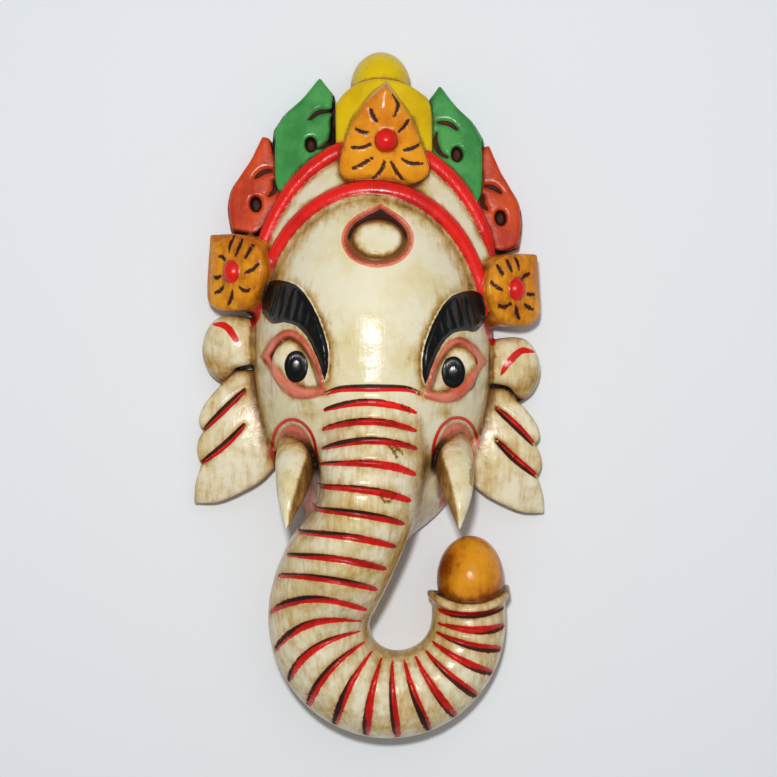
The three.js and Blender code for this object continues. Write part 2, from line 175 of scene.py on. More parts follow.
VERMILION_LEAF = {
    "runs": (
        ((3, 29), (7, 30)),
        ((13, 18), (19, 10), (25, 1), (27, -10), (25, -23)),
        ((10, -24), (-6, -8), (-4, 10)),
    ),
    "high": 27, "slope": -0.1, "ridge": 8, "fold": 0.12,
    "crescents": (((12, 6), (6, 10), (0, 11)), ((0.5, 6), (0, 0), (4, -4))),
    "pit": (10.5, -8),
}
PIT = {"radii": (2.9, 4.0), "deep": 9}
SCROLL = {"half": 2.6, "deep": 2.4}
EAR_CUT = {"half": 2.8, "deep": 3.2}
LEAF = {"carved": 14, "flat": 3}  # how far down its carving goes, and half the flat of its ridge
FLOWER = {
    "runs": (
        ((18, 21),),
        ((-4, 20), (-16, 11), (-18.5, -1), (-13, -14), (-4, -20), (10, -21), (19, -16), (20, -6)),
    ),
    "thick": 12, "root": 40, "turn": 0.6, "middle": 43, "box": (26, 24, 48),
    "bead": (5.4, 6.4, 5.0),
    "petals": (
        ((-17, 4.5), (-13, 0.5), (-8, -1)), ((-12, -9.5), (-8, -10.5), (-4, -8)),
        ((-0.5, -9), (0.5, -13.5), (4, -18)), ((5.5, -7.5), (8, -10), (12.5, -11.5)),
        ((7, -2), (10, -3), (13.5, -2.5)), ((4, 6), (6.5, 8), (9.5, 9)),
        ((2, 11), (1.5, 16), (0.5, 20)), ((-2.5, 8.5), (-4.5, 13.5), (-5.5, 18.5)),
        ((-9, 6.5), (-10.5, 10.5), (-12.5, 14.5)),
    ),
}
JEWEL = {
    "at": (9.5, 140.2, 49), "box": ((-20, 108, 25), (36, 172, 75)),
    "runs": (
        (
            (13, 11.7), (21, -8.3), (23, -19.3), (13, -25.8), (0, -27.3),
            (-18, -25.3), (-25.5, -15.3), (-19, 6.7), (-10, 20.7), (0.3, 29),
        ),
    ),
    "thick": 12, "root": 10, "lean": 0.3, "bead": (6.2, 6.2, 6.5),
    "petals": (
        ((-6.5, -1), (-13, -4), (-20, -4)), ((-7, -9), (-12, -12.5), (-18.5, -16)),
        ((-0.5, -10), (-2.5, -16), (-7, -21)), ((2, -10), (5.5, -17), (10.5, -23)),
        ((7.5, -9.5), (13, -12.5), (20.5, -13)), ((9.5, -5), (14.5, -4.5), (19, -2)),
        ((6.5, 4.5), (9.5, 7), (12, 10.5)), ((-4, 9), (-7, 13), (-9, 18)),
        ((-8, 4), (-13, 4.5), (-18.5, 7)), ((3.5, 24.5), (6.5, 19.5), (4.5, 13)),
    ),
}
PETAL = {"half": 1.25, "deep": 1.2, "bevel": 2.5, "bevel_wide": 9, "painted_down": 6, "unpainted": 0.25}
PANEL = {
    "at": (8, 132),
    "runs": (
        ((27, -2), (26, 26), (20, 34), (10, 39), (-2, 41), (-13, 39), (-21, 34), (-26.5, 27)),
        ((-26, -2),),
    ),
    "high": 45,
    "dome": ((0, 0), (48, 80)),
}
KNOB = {"centre": (6.5, 171, 8), "radii": (17, 20.5, 19)}

# Face
BROW = {
    "runs": (
        ((19, 36), (16, 44.5), (8, 45.5), (-2.5, 40.5), (-11.5, 26.5), (-17, 10.5), (-17.5, -1), (-16, -8)),
        ((-12.5, 2.5), (-6.5, 15), (-0.5, 21), (6, 23), (13.5, 23), (19, 29)),
    ),
    "proud": 2.2, "hatch": 5.0, "comb": 0.9, "waver": 0.8,
}
LID = {
    "runs": (
        ((20, 5), (13.5, 13.5), (4.5, 18.5), (-3.5, 15), (-11.5, 2.5), (-16.5, -15.5)),
        ((-5, -18), (4, -16), (11, -9), (15.5, -0.5)),
    ),
    "opening": (
        ((14.5, 4.5), (8.5, 12), (3, 15), (-4, 10.5), (-9.5, 1), (-14, -12.5)),
        ((-4, -12.5), (6, -7)),
    ),
    "proud": 2.0, "sunk": 3.0,
}
EYE = {"radii": (13, 15, 9), "sink": 7}
PUPIL = {"radii": (6.4, 8.6), "proud": 0.9, "ring": 0.62, "ring_half": 0.9, "ring_deep": 0.7}
SOCKET = {"radii": (13, 19), "line": 0.95, "deep": 3.0, "foot": -3, "cut_half": 1.3, "cut_deep": 0.9}
TUSK = {"radii": (9.5, 10.5, 8, 1.2), "inward": 0.85, "upward": 0.53, "facet": 0.62}
THIRD_EYE = {
    "at": (5, 83), "button": (13.8, 10.4), "groove": (17.4, 13.6), "line": 1.6,
    "peak": (6.8, 101), "gable": 6.0, "deep": 2.6, "proud": 3.2,
}
BROW_LINE = ((-24, 0), (-14, 3), (3, 3.5), (20, 3), (29, 0))
BROW_LINE_CUT = 2.2  # half its width, and its depth

# Brown darkening by where it lies, partly old varnish and partly painted shade in the creases and beside
# raised forms: how strong it is, and over how many millimetres it fades
DARKENING_BY_PLACE = {
    "cream_seam": (0.75, 2.4),
    "paint_seam": (0.7, 1.4),
    "ring": (0.35, 2.8),
    "ear_root": (0.8, 5),
    "ear_rim": (0.5, 1.6),
    "socket": (0.8, 2.5),
    "opening": (0.85, 1.7),
    "lid": (0.65, 2.2),
    "brow": (1.0, 3.2),
    "third_eye": (1.15, 2.6),
    "under_roll": (0.8, 4.5),
    "cheek": (0.7, 5),
    "knob": (0.95, 1.6),
}
# The least darkening on whole forms; on the steep sides it is painted shade
TINT = {"steep": 0.62, "lobe": 0.28, "ear": 0.3, "tusk": 0.15, "leaf": 0.15, "flower": 0.12, "sweet": 0.3}
# Painted shade below each eye, under the lids: middle in (u, v), radius and strength
SHADE_BELOW_EYES = (((15, -11), 7, 0.5), ((-6, -23), 8, 0.42))
KNOB_GROOVE = ((-11, 170), (-4, 173), (6, 174), (16, 173), (24, 169.5))

# Painted strokes: half their widths
STROKES = {"ear_cut": 2.0, "ear_shade": 1.1, "lobe": 2.0, "strip": 4.0, "scroll": 1.4}
# The line across the brow: how far its two colours lie from its middle, and half their widths
BROW_LINE_RED = (-0.5, 1.5)
BROW_LINE_DARK = (1.0, 1.1)
UNPAINTED = -4.0  # the furthest outside a painted shape that is told apart

# Nicks in the lacquer
CHIPS = (
    ((57.5, 5.5), (56.5, 4), (54.5, 2.5)),
    ((6.5, -51.5), (8, -55), (10, -56.5)),
    ((10, -56.5), (12.5, -55), (14, -52)),
    ((11, -27), (13.5, -29.5), (15, -33)),
    ((13.5, -27.5), (16.5, -29), (18, -31)),
    ((18, -6.5), (20.5, -7.5), (22, -9)),
)

# Wear: how far below an edge the wood is probed, and how much of it is missing there
WEAR = {"probe": 2, "from": 1.75, "over": 0.9}
# Creases: how far above the surface the room is probed, and the weight of each probe
PROBES = ((1.5, 0.3), (3.5, 0.4), (8.0, 0.3))
# What the thinning may touch: up to these distances from the back and from the hollow
PLAIN = {"back": 0.5, "hollow": 2.5}


# Small numeric helpers

def numbers(values):
    return np.asarray(values, float)


def smooth_min(a, b, k):
    h = np.clip(0.5 + 0.5 * (b - a) / k, 0, 1)
    return b * (1 - h) + a * h - k * h * (1 - h)


def smooth_max(a, b, k):
    return -smooth_min(-a, -b, k)


def ramp(value, start, end):
    t = np.clip((value - start) / (end - start), 0, 1)
    return t * t * (3 - 2 * t)


def spline(points, per=5):
    """A smooth line through points, as rows of coordinates."""
    p = numbers(points)
    if len(p) < 3:
        return p
    ends = np.vstack([2 * p[0] - p[1], p, 2 * p[-1] - p[-2]])
    t = np.linspace(0, 1, per, endpoint=False)[:, None]
    rows = []
    for a, b, c, d in zip(ends, ends[1:], ends[2:], ends[3:]):
        square = 2 * a - 5 * b + 4 * c - d
        cube = 3 * b - a - 3 * c + d
        rows.append(0.5 * (2 * b + (c - a) * t + square * t**2 + cube * t**3))
    return np.vstack(rows + [p[-1:]])


def eased(values, t):
    """Values given at equal steps from t = 0 to 1, eased between them."""
    dense = spline([(i, v) for i, v in enumerate(values)], 12)
    return np.interp(t * (len(values) - 1), dense[:, 0], dense[:, 1])


def outline(runs):
    """A closed loop from runs of points, with a corner where one run meets the next."""
    pieces = []
    last = None
    for run in runs:
        points = list(run) if last is None else [last] + list(run)
        pieces.append(spline(points)[:-1] if len(points) > 1 else numbers(points))
        last = run[-1]
    return np.vstack(pieces + [numbers([last])])


def placed(points, anchor, side):
    """Points in (u, v) set on one side of the face."""
    p = numbers(points) * side["stretch"]
    return np.column_stack([anchor[0] + side["sign"] * p[:, 0], anchor[1] + p[:, 1]])


def loop_distance(q, loop):
    """Distance to a closed loop, negative inside."""
    nearest = np.full(len(q), 1e9)
    inside = np.zeros(len(q), bool)
    for a, b in zip(loop, np.roll(loop, -1, axis=0)):
        edge = b - a
        span = edge @ edge
        if span < 1e-9:
            continue
        w = q - a
        t = np.clip((w @ edge) / span, 0, 1)
        nearest = np.minimum(nearest, ((w - t[:, None] * edge) ** 2).sum(1))
        crosses = (a[1] <= q[:, 1]) != (b[1] <= q[:, 1])
        if edge[1]:
            inside ^= crosses & (q[:, 0] < a[0] + w[:, 1] * edge[0] / edge[1])
    return np.where(inside, -1, 1) * np.sqrt(nearest)


def loop_on_side(q, runs, anchor, side):
    """Indices of the points close to a loop set on one side of the face, and their distances to it."""
    loop = placed(outline(runs), anchor, side)
    i = near(q, loop)
    return i, loop_distance(q[i], loop)


def line_distance(q, line):
    """Distance to an open line, and how far along it the nearest point is, from 0 to 1."""
    nearest = np.full(len(q), 1e9)
    along = np.zeros(len(q))
    lengths = np.linalg.norm(np.diff(line, axis=0), axis=1)
    start = np.concatenate([[0], np.cumsum(lengths)])
    for a, b, s, length in zip(line, line[1:], start, lengths):
        edge = (b - a) / max(length, 1e-9)
        w = q - a
        t = np.clip(w @ edge, 0, length)
        d = ((w - t[:, None] * edge) ** 2).sum(1)
        closer = d < nearest
        nearest = np.where(closer, d, nearest)
        along = np.where(closer, s + t, along)
    return np.sqrt(nearest), along / start[-1]


def ellipse_distance(q, centre, radii):
    """Distance to an ellipse, or to an ellipsoid, close to true near it and negative inside."""
    w = (q - numbers(centre)) / numbers(radii)
    reach = np.linalg.norm(w, axis=1)
    slope = np.linalg.norm(w / numbers(radii), axis=1)
    return reach * (reach - 1) / np.maximum(slope, 1e-6)


def oval_distance(p, form):
    return ellipse_distance(p, form["centre"], form["radii"])


def dome_height(form, x, y):
    """Height of an ellipsoid's front over the back plane."""
    (cx, cy, _), (rx, ry, rz) = form["centre"], form["radii"]
    return rz * np.sqrt(np.maximum(0, 1 - ((x - cx) / rx) ** 2 - ((y - cy) / ry) ** 2))


def near(p, points):
    """Indices of the points close to a form's box, in plan or in space."""
    points = numbers(points)
    lo = points.min(0) - REACH
    hi = points.max(0) + REACH
    return np.nonzero(np.all((p[:, : len(lo)] > lo) & (p[:, : len(lo)] < hi), axis=1))[0]


def stroke_depth(q, line, half):
    """1 at the middle of a pointed stroke, falling to 0 at its edges and ends."""
    d, t = line_distance(q, spline(line))
    width = half * np.sqrt(np.clip(np.sin(np.pi * t), 0.02, 1))
    return np.clip(1 - d / width, 0, 1)


# The trunk's path, measured once

def trunk_path():
    """Even steps along the trunk's middle line, with the place and the direction at each."""
    root, bend, control = (numbers(TRUNK[k]) for k in ("root", "bend", "control"))
    turn = np.radians(np.linspace(TRUNK["curl_from"], 360, 80))
    around = np.column_stack([np.cos(turn), np.sin(turn)])
    curl = np.asarray(TRUNK["curl_centre"]) + TRUNK["curl_radius"] * around
    t = np.linspace(0, 1, 40)[:, None]
    straight = root + (bend - root) * t
    sweep = bend * (1 - t) ** 2 + 2 * control * t * (1 - t) + curl[0] * t**2
    tip = curl[-1] + (numbers(TRUNK["tip"]) - curl[-1]) * t
    rough = np.vstack([straight[:-1], sweep[:-1], curl[:-1], tip])
    s = np.concatenate([[0], np.cumsum(np.linalg.norm(np.diff(rough, axis=0), axis=1))])
    even = np.linspace(0, s[-1], 260)
    points = np.column_stack([np.interp(even, s, rough[:, 0]), np.interp(even, s, rough[:, 1])])
    forward = np.gradient(points, even, axis=0)
    forward /= np.linalg.norm(forward, axis=1)[:, None]
    return even, points, forward


PATH_S, PATH_XY, PATH_FORWARD = trunk_path()
TRUNK_LENGTH = PATH_S[-1]
TRUNK_PLAN = PATH_XY + TRUNK["spread"] * np.sign(PATH_XY - PATH_XY.mean(0))
CHUNK = 20000


def trunk_place(q):
    """Distance along the trunk and distance across it, positive on the inside of the curl."""
    half = eased(TRUNK["half_width"], PATH_S / TRUNK_LENGTH)
    along = np.zeros(len(q))
    across = np.zeros(len(q))
    for start in range(0, len(q), CHUNK):
        part = q[start : start + CHUNK]
        gap = np.linalg.norm(part[:, None] - PATH_XY[None], axis=2) - half[None]
        i = gap.argmin(1)
        w = part - PATH_XY[i]
        f = PATH_FORWARD[i]
        along[start : start + CHUNK] = PATH_S[i] + (w * f).sum(1)
        across[start : start + CHUNK] = f[:, 0] * w[:, 1] - f[:, 1] * w[:, 0]
    return along, across


def ring_offset(along, u):
    """Distance along the trunk from the nearest carved ring, which is bowed and slanted."""
    best = np.full(len(along), 1e3)
    for ring in RINGS:
        bow = float(eased(TRUNK["bow"], ring / TRUNK_LENGTH))
        slant = float(eased(TRUNK["slant"], ring / TRUNK_LENGTH))
        offset = along - (ring + bow * u * u + slant * u)
        best = np.where(np.abs(offset) < np.abs(best), offset, best)
    return best


def ring_fade(u):
    """How open a ring is, from 1 at its middle to 0 at its ends."""
    return np.sqrt(np.clip(1 - ((u - RING["middle"]) / RING["reach"]) ** 2, 0, 1))


def trunk(p):
    """Distance to the trunk: a half-round front on straight flanks, with rings cut across it and a rim."""
    along, across = trunk_place(p[:, :2])
    t = np.clip(along / TRUNK_LENGTH, 0, 1)
    half = eased(TRUNK["half_width"], t)
    spring = eased(TRUNK["front"], t) - half
    u = np.clip(across / half, -1.2, 1.2)
    rim = RIM["middle"] + RIM["bow"] * u * u
    collar = rim - RIM["long"]
    half = half + RIM["proud"] * ramp(along, collar - RIM["step"], collar)
    half = half - NIP["deep"] * ramp(-u, 0.3, 1.0) * np.exp(-(((along - NIP["at"]) / NIP["long"]) ** 2))
    spring = spring - TRUNK["drop"] * ramp(-along, 0, TRUNK["buried"])
    z = p[:, 2]
    low_down = np.clip(1 - z / spring, 0, 1)
    flank = half * (1 + (TRUNK["flare"] - 1) * low_down)
    curled = ramp(along, UNDERCUT["from"], UNDERCUT["to"])
    flank = flank - UNDERCUT["deep"] * ramp(across, 0, UNDERCUT["soft"]) * curled * low_down
    body = np.where(z > spring, np.hypot(across, z - spring) - half, np.abs(across) - flank)
    body = smooth_max(body, along - rim, RIM["soft"])
    body = np.maximum(body, -along - TRUNK["buried"])
    cut = np.clip(1 - np.abs(ring_offset(along, u)) / RING["half"], 0, 1) * ring_fade(u)
    return body + np.where(z > spring - RING["below"], RING["deep"] * cut, 0)


# Relief of the face, as a height over the head's dome

def face_relief(q):
    relief = np.zeros(len(q))
    for side in SIDES:
        i, d = loop_on_side(q, BROW["runs"], side["eye"], side)
        u = (q[i, 0] - side["eye"][0]) * side["sign"]
        v = q[i, 1] - side["eye"][1]
        waver = BROW["waver"] * np.sin(0.45 * v + 0.9 * u)
        hatch = 0.5 + 0.5 * np.cos(2 * np.pi * (u + 0.25 * v + waver) / BROW["hatch"])
        relief[i] += ramp(-d, -0.6, 1.8) * BROW["proud"] - ramp(-d, 1.5, 4) * BROW["comb"] * hatch**2

        i, outer = loop_on_side(q, LID["runs"], side["eye"], side)
        inner = loop_distance(q[i], placed(outline(LID["opening"]), side["eye"], side))
        sunk = LID["proud"] + LID["sunk"]
        relief[i] += ramp(-outer, -1.2, 2.0) * LID["proud"] - ramp(-inner, -0.8, 1.2) * sunk

        i = near(q, [np.add(side["socket"], SOCKET["radii"]), np.subtract(side["socket"], SOCKET["radii"])])
        d = ellipse_distance(q[i], side["socket"], SOCKET["radii"])
        relief[i] -= ramp(-d, -1.0, 4.0) * SOCKET["deep"]
        relief[i] -= np.clip(1 - np.abs(d) / SOCKET["cut_half"], 0, 1) * SOCKET["cut_deep"]

    d = third_eye_distance(q, THIRD_EYE["groove"])
    button = ellipse_distance(q, THIRD_EYE["at"], THIRD_EYE["button"])
    relief -= ramp(-d, -0.5, 1.5) * THIRD_EYE["deep"]
    relief += ramp(-button, -1.2, 2.5) * THIRD_EYE["proud"]
    relief -= stroke_depth(q, BROW_LINE, BROW_LINE_CUT) * BROW_LINE_CUT
    return relief


def third_eye_distance(q, radii):
    """Distance to the edge of an oval whose top is drawn up to a peak with hollow sides."""
    x, y = THIRD_EYE["peak"]
    rise = y - THIRD_EYE["at"][1] - radii[1]
    lift = rise * np.exp(-np.abs(q[:, 0] - x) / THIRD_EYE["gable"])
    upper = np.clip((q[:, 1] - THIRD_EYE["at"][1]) / radii[1], 0, 1)
    return ellipse_distance(q - np.column_stack([np.zeros(len(q)), lift * upper]), THIRD_EYE["at"], radii)


# Plates that stand on the back plane, slabs that are tilted, and what is carved on them

def plate(p, form, anchor, side, round_edge=2.0, tall=1.0):
    """Indices of the points close to a plate, and their distances to it."""
    loop = placed(outline(form["runs"]) * (1, tall), anchor, side)
    i = near(p, loop)
    q = p[i, :2]
    edge = loop_distance(q, loop)
    top = np.full(len(i), float(form["high"]))
    if "dome" in form:
        at, radii = form["dome"]
        centre = placed([at], anchor, side)[0]
        w = (q - centre) / (np.asarray(radii) * side["stretch"])
        top = form["high"] * np.sqrt(np.maximum(0.05, 1 - (w**2).sum(1)))
    top += form.get("slope", 0) * (q[:, 1] - anchor[1])
    for line in form.get("cuts", ()):
        top -= stroke_depth(q, placed(line, anchor, side), EAR_CUT["half"]) * EAR_CUT["deep"]
    return i, smooth_max(edge, p[i, 2] - top, round_edge)


def scrolls(form, colour, side):
    """The curved cuts of a leaf, and the middle of its pit."""
    shift = np.asarray(side["scrolls"][colour])
    lines = [placed(np.asarray(line) + shift, side[colour], side) for line in form["crescents"]]
    return lines, placed([np.asarray(form["pit"]) + shift], side[colour], side)[0]


def leaf(p, form, colour, side):
    """A plate with a ridge down its middle, scrolls cut into its front and a pit."""
    i, d = plate(p, form, side[colour], side, tall=side["tall"][colour])
    q = p[i, :2]
    lines, pit = scrolls(form, colour, side)
    cut = ramp(-ellipse_distance(q, pit, PIT["radii"]), -0.7, 0.7) * PIT["deep"]
    for line in lines:
        cut = np.maximum(cut, stroke_depth(q, line, SCROLL["half"]) * SCROLL["deep"])
    ridge = np.abs(q[:, 0] - side[colour][0] - side["sign"] * form["ridge"])
    fold = form["fold"] * np.maximum(ridge - LEAF["flat"], 0)
    return i, np.where(p[i, 2] > form["high"] - LEAF["carved"], d + cut + fold, d)


def slab_frame(p, centre, turn=0.0, lean=0.0, thick=0.0):
    """Points in the frame of a slab turned about Y and leaning about X, whose front is at z = thick."""
    w = p - numbers(centre)
    c, s = math.cos(turn), math.sin(turn)
    w = np.column_stack([c * w[:, 0] - s * w[:, 2], w[:, 1], s * w[:, 0] + c * w[:, 2]])
    c, s = math.cos(lean), math.sin(lean)
    w = np.column_stack([w[:, 0], c * w[:, 1] - s * w[:, 2], s * w[:, 1] + c * w[:, 2]])
    w[:, 2] += thick
    return w


def petal_depth(form, q, side):
    """1 at the middle of a petal's cut, and 0 outside the cuts."""
    depth = np.zeros(len(q))
    for line in form["petals"]:
        depth = np.maximum(depth, stroke_depth(q, placed(line, (0, 0), side), PETAL["half"]))
    return depth


def blossom(form, w, side):
    """Distances to a slab with petals and to the bead on it, in the slab's frame."""
    loop = placed(outline(form["runs"]), (0, 0), side)
    edge = loop_distance(w[:, :2], loop)
    bevel = PETAL["bevel"] * ramp(edge, -PETAL["bevel_wide"], 0)
    top = form["thick"] - bevel - petal_depth(form, w[:, :2], side) * PETAL["deep"]
    slab = smooth_max(edge, w[:, 2] - top, 2.0)
    slab = np.maximum(slab, -form["root"] - w[:, 2])
    bead = ellipse_distance(w, (0, 0, form["thick"] - 1), form["bead"])
    return slab, bead


WHOLE = {"sign": 1, "stretch": 1.0}  # for a form that isn't one of a pair


def near_flower(p, side):
    x, y = side["flower"]
    half_x, half_y, top = FLOWER["box"]
    return near(p, [(x - half_x, y - half_y, 0), (x + half_x, y + half_y, top)])


def flower_frame(p, side):
    centre = (*side["flower"], FLOWER["middle"])
    return slab_frame(p, centre, turn=FLOWER["turn"] * side["sign"], thick=FLOWER["thick"])


def jewel_frame(p):
    return slab_frame(p, JEWEL["at"], lean=-JEWEL["lean"])


def roll(p, arch):
    """A round moulding that lies on the crown's dome, thickest at its middle."""
    turn = np.linspace(arch["from"], arch["to"], 60)
    x = arch["centre"][0] + arch["radii"][0] * np.cos(turn)
    y = arch["centre"][1] + arch["radii"][1] * np.sin(turn)
    line = np.column_stack([x, y, dome_height(CROWN, x, y)])
    i = near(p, line)
    d, t = line_distance(p[i], line)
    ends = np.minimum(ramp(t, 0, ROLL["ends_to"]), ramp(1 - t, 0, ROLL["ends_to"]))
    middle = np.minimum(ramp(t, ROLL["middle_from"], 0.5), ramp(1 - t, ROLL["middle_from"], 0.5))
    return i, d - arch["roll"] * (ROLL["least"] + ROLL["ends"] * ends + ROLL["middle"] * middle)


def tusk(p, side):
    """A round horn with a flat facet on the side of the trunk."""
    line = spline(side["tusk"], 8)
    i = near(p, line)
    d, t = line_distance(p[i], line)
    radius = eased(TUSK["radii"], t)
    steps = np.linspace(0, 1, len(line))
    inward = side["sign"] * (np.interp(t, steps, line[:, 0]) - p[i, 0])
    upward = p[i, 2] - np.interp(t, steps, line[:, 2])
    facet = TUSK["inward"] * inward + TUSK["upward"] * upward - TUSK["facet"] * radius
    return i, smooth_max(d - radius, facet, 1.0)


def eye_ball(p, side):
    """An eyeball with a raised pupil, and a fine ring cut into that."""
    x, y = side["eye"]
    centre = (x, y, float(dome_height(HEAD, x, y)) - EYE["sink"])
    i = near(p, [np.subtract(centre, EYE["radii"]), np.add(centre, EYE["radii"])])
    pupil = ellipse_distance(p[i, :2], side["pupil"], PUPIL["radii"])
    ring = ellipse_distance(p[i, :2], side["pupil"], np.multiply(PUPIL["radii"], PUPIL["ring"]))
    cut = np.clip(1 - np.abs(ring) / PUPIL["ring_half"], 0, 1) * PUPIL["ring_deep"]
    lift = ramp(-pupil, -0.5, 0.8) * PUPIL["proud"] - cut
    return i, ellipse_distance(p[i], centre, EYE["radii"]) - lift


FORMS = ("cream", "ivory", "red", "green", "vermilion", "yellow", "ochre", "amber")


def colours_at(p):
    """Distance from each point to the nearest form of each colour."""
    total = {colour: np.full(len(p), FAR) for colour in FORMS}

    def add(colour, indices, distance, blend=0.0):
        old = total[colour][indices]
        total[colour][indices] = smooth_min(old, distance, blend) if blend else np.minimum(old, distance)

    def add_blossom(indices, form, w, side):
        slab, bead = blossom(form, w, side)
        add("ochre", indices, slab)
        add("red", indices, bead)

    q = p[:, :2]
    total["cream"] = oval_distance(p, HEAD) - face_relief(q)
    i = near(p, TRUNK_PLAN)
    add("cream", i, trunk(p[i]), BLEND["trunk"])
    inner = ellipse_distance(q, INNER_ARCH["centre"], np.subtract(INNER_ARCH["radii"], FILLET_PAST))
    outer = ellipse_distance(q, OUTER_ARCH["centre"], np.add(OUTER_ARCH["radii"], FILLET_PAST))
    strip = np.maximum(np.maximum(outer, -inner), DIADEM_LOWEST - p[:, 1])
    fillet = np.maximum(oval_distance(p, CROWN), strip)
    add("cream", slice(None), fillet, BLEND["fillet"])
    for arch in (INNER_ARCH, OUTER_ARCH):
        add("red", *roll(p, arch))
    for side in SIDES:
        add("cream", *eye_ball(p, side))
        add("cream", *plate(p, EAR, side["ear"], side))
        add("cream", *plate(p, LOBE, side["lobe"], side, 4.0))
        add("ivory", *tusk(p, side))
        add("green", *leaf(p, GREEN_LEAF, "green", side))
        add("vermilion", *leaf(p, VERMILION_LEAF, "vermilion", side))
        i = near_flower(p, side)
        add_blossom(i, FLOWER, flower_frame(p[i], side), side)
    add("yellow", *plate(p, PANEL, PANEL["at"], WHOLE))
    add("yellow", slice(None), oval_distance(p, KNOB))
    i = near(p, JEWEL["box"])
    add_blossom(i, JEWEL, jewel_frame(p[i]), WHOLE)
    add("amber", slice(None), oval_distance(p, SWEET))
    return total


def mask_distance(p):
    """Distance to the whole mask: every form, hollowed and cut off flat at the back."""
    solid = np.min(list(colours_at(p).values()), axis=0)
    hollow = oval_distance(p, HOLLOW)
    return np.maximum(smooth_max(solid, -hollow, BLEND["hollow"]), -p[:, 2])


# Meshing: one vertex in each cell that the surface crosses, joined across the cell walls

def sample_field():
    """The first point of a fine grid, and the mask's distances on it, worked out close to its surface."""
    size = STEP * COARSE
    lo = np.array([low.x, low.y, low.z]) / MM - MARGIN
    count = np.ceil((np.array([high.x, high.y, DEPTH * MM]) / MM + MARGIN - lo) / size).astype(int) + 1
    axes = [lo[k] + size * np.arange(count[k]) for k in range(3)]
    grid = np.stack(np.meshgrid(*axes, indexing="ij"), -1)
    coarse = mask_distance(grid.reshape(-1, 3)).reshape(count)
    close = np.abs(coarse) < size * CLOSE

    def finer(values):
        return values.repeat(COARSE, 0).repeat(COARSE, 1).repeat(COARSE, 2)

    field = finer(np.sign(coarse) * FAR)
    wanted = finer(close)
    origin = lo - size / 2 + STEP / 2
    field[wanted] = mask_distance(origin + np.argwhere(wanted) * STEP)
    return origin, field


def net(origin, field):
    """The points and the four-sided faces of the surface where the field is zero."""
    inside = field < 0
    corners = np.stack(np.meshgrid((0, 1), (0, 1), (0, 1), indexing="ij"), -1).reshape(-1, 3)
    shape = np.array(field.shape) - 1
    filled = np.zeros(shape, np.int8)
    for c in corners:
        filled += inside[c[0] : c[0] + shape[0], c[1] : c[1] + shape[1], c[2] : c[2] + shape[2]]
    cells = np.argwhere((filled > 0) & (filled < 8))
    total = np.zeros((len(cells), 3))
    hits = np.zeros(len(cells))
    for a in corners:
        for axis in range(3):
            if a[axis]:
                continue
            b = a.copy()
            b[axis] = 1
            fa = field[tuple((cells + a).T)]
            fb = field[tuple((cells + b).T)]
            crossed = (fa < 0) != (fb < 0)
            t = np.where(crossed, fa / np.where(crossed, fa - fb, 1), 0)
            total += np.where(crossed[:, None], a + t[:, None] * (b - a), 0)
            hits += crossed
    points = origin + (cells + total / hits[:, None]) * STEP
    number = np.full(shape, -1, np.int64)
    number[tuple(cells.T)] = np.arange(len(cells))
    quads = []
    for axis in range(3):
        u, v = (axis + 1) % 3, (axis + 2) % 3
        step = np.eye(3, dtype=int)
        here = inside[tuple(slice(1, -1) if k != axis else slice(0, -1) for k in range(3))]
        there = inside[tuple(slice(1, -1) if k != axis else slice(1, None) for k in range(3))]
        edges = np.argwhere(here != there) + np.array([0 if k == axis else 1 for k in range(3)])
        ring = [edges - step[u] - step[v], edges - step[v], edges, edges - step[u]]
        quad = np.stack([number[tuple(r.T)] for r in ring], 1)
        flip = ~inside[tuple(edges.T)]
        quad[flip] = quad[flip][:, ::-1]
        quads.append(quad)
    return points, np.vstack(quads)


def slope_at(p):
    """The field, its direction of growth and its rate, from four points around each one."""
    corners = np.array([(1, -1, -1), (-1, -1, 1), (-1, 1, -1), (1, 1, 1)], float)
    grad = np.zeros_like(p)
    mean = np.zeros(len(p))
    for c in corners:
        d = mask_distance(p + c * SLOPE_STEP)
        grad += d[:, None] * c
        mean += d / 4
    grad /= 4 * SLOPE_STEP
    size = np.linalg.norm(grad, axis=1)
    return mean, grad / np.maximum(size, 1e-6)[:, None], size


# Paint: for each colour, how far inside its painted shapes a point lies, and how darkened it is by age and
# by painted shade

def darkening_near(place, distance):
    """How strong the darkening is at a distance from where it lies: old varnish, and painted shade in the
    creases.
    """
    strength, reach = DARKENING_BY_PLACE[place]
    return strength * np.exp(-distance / reach)


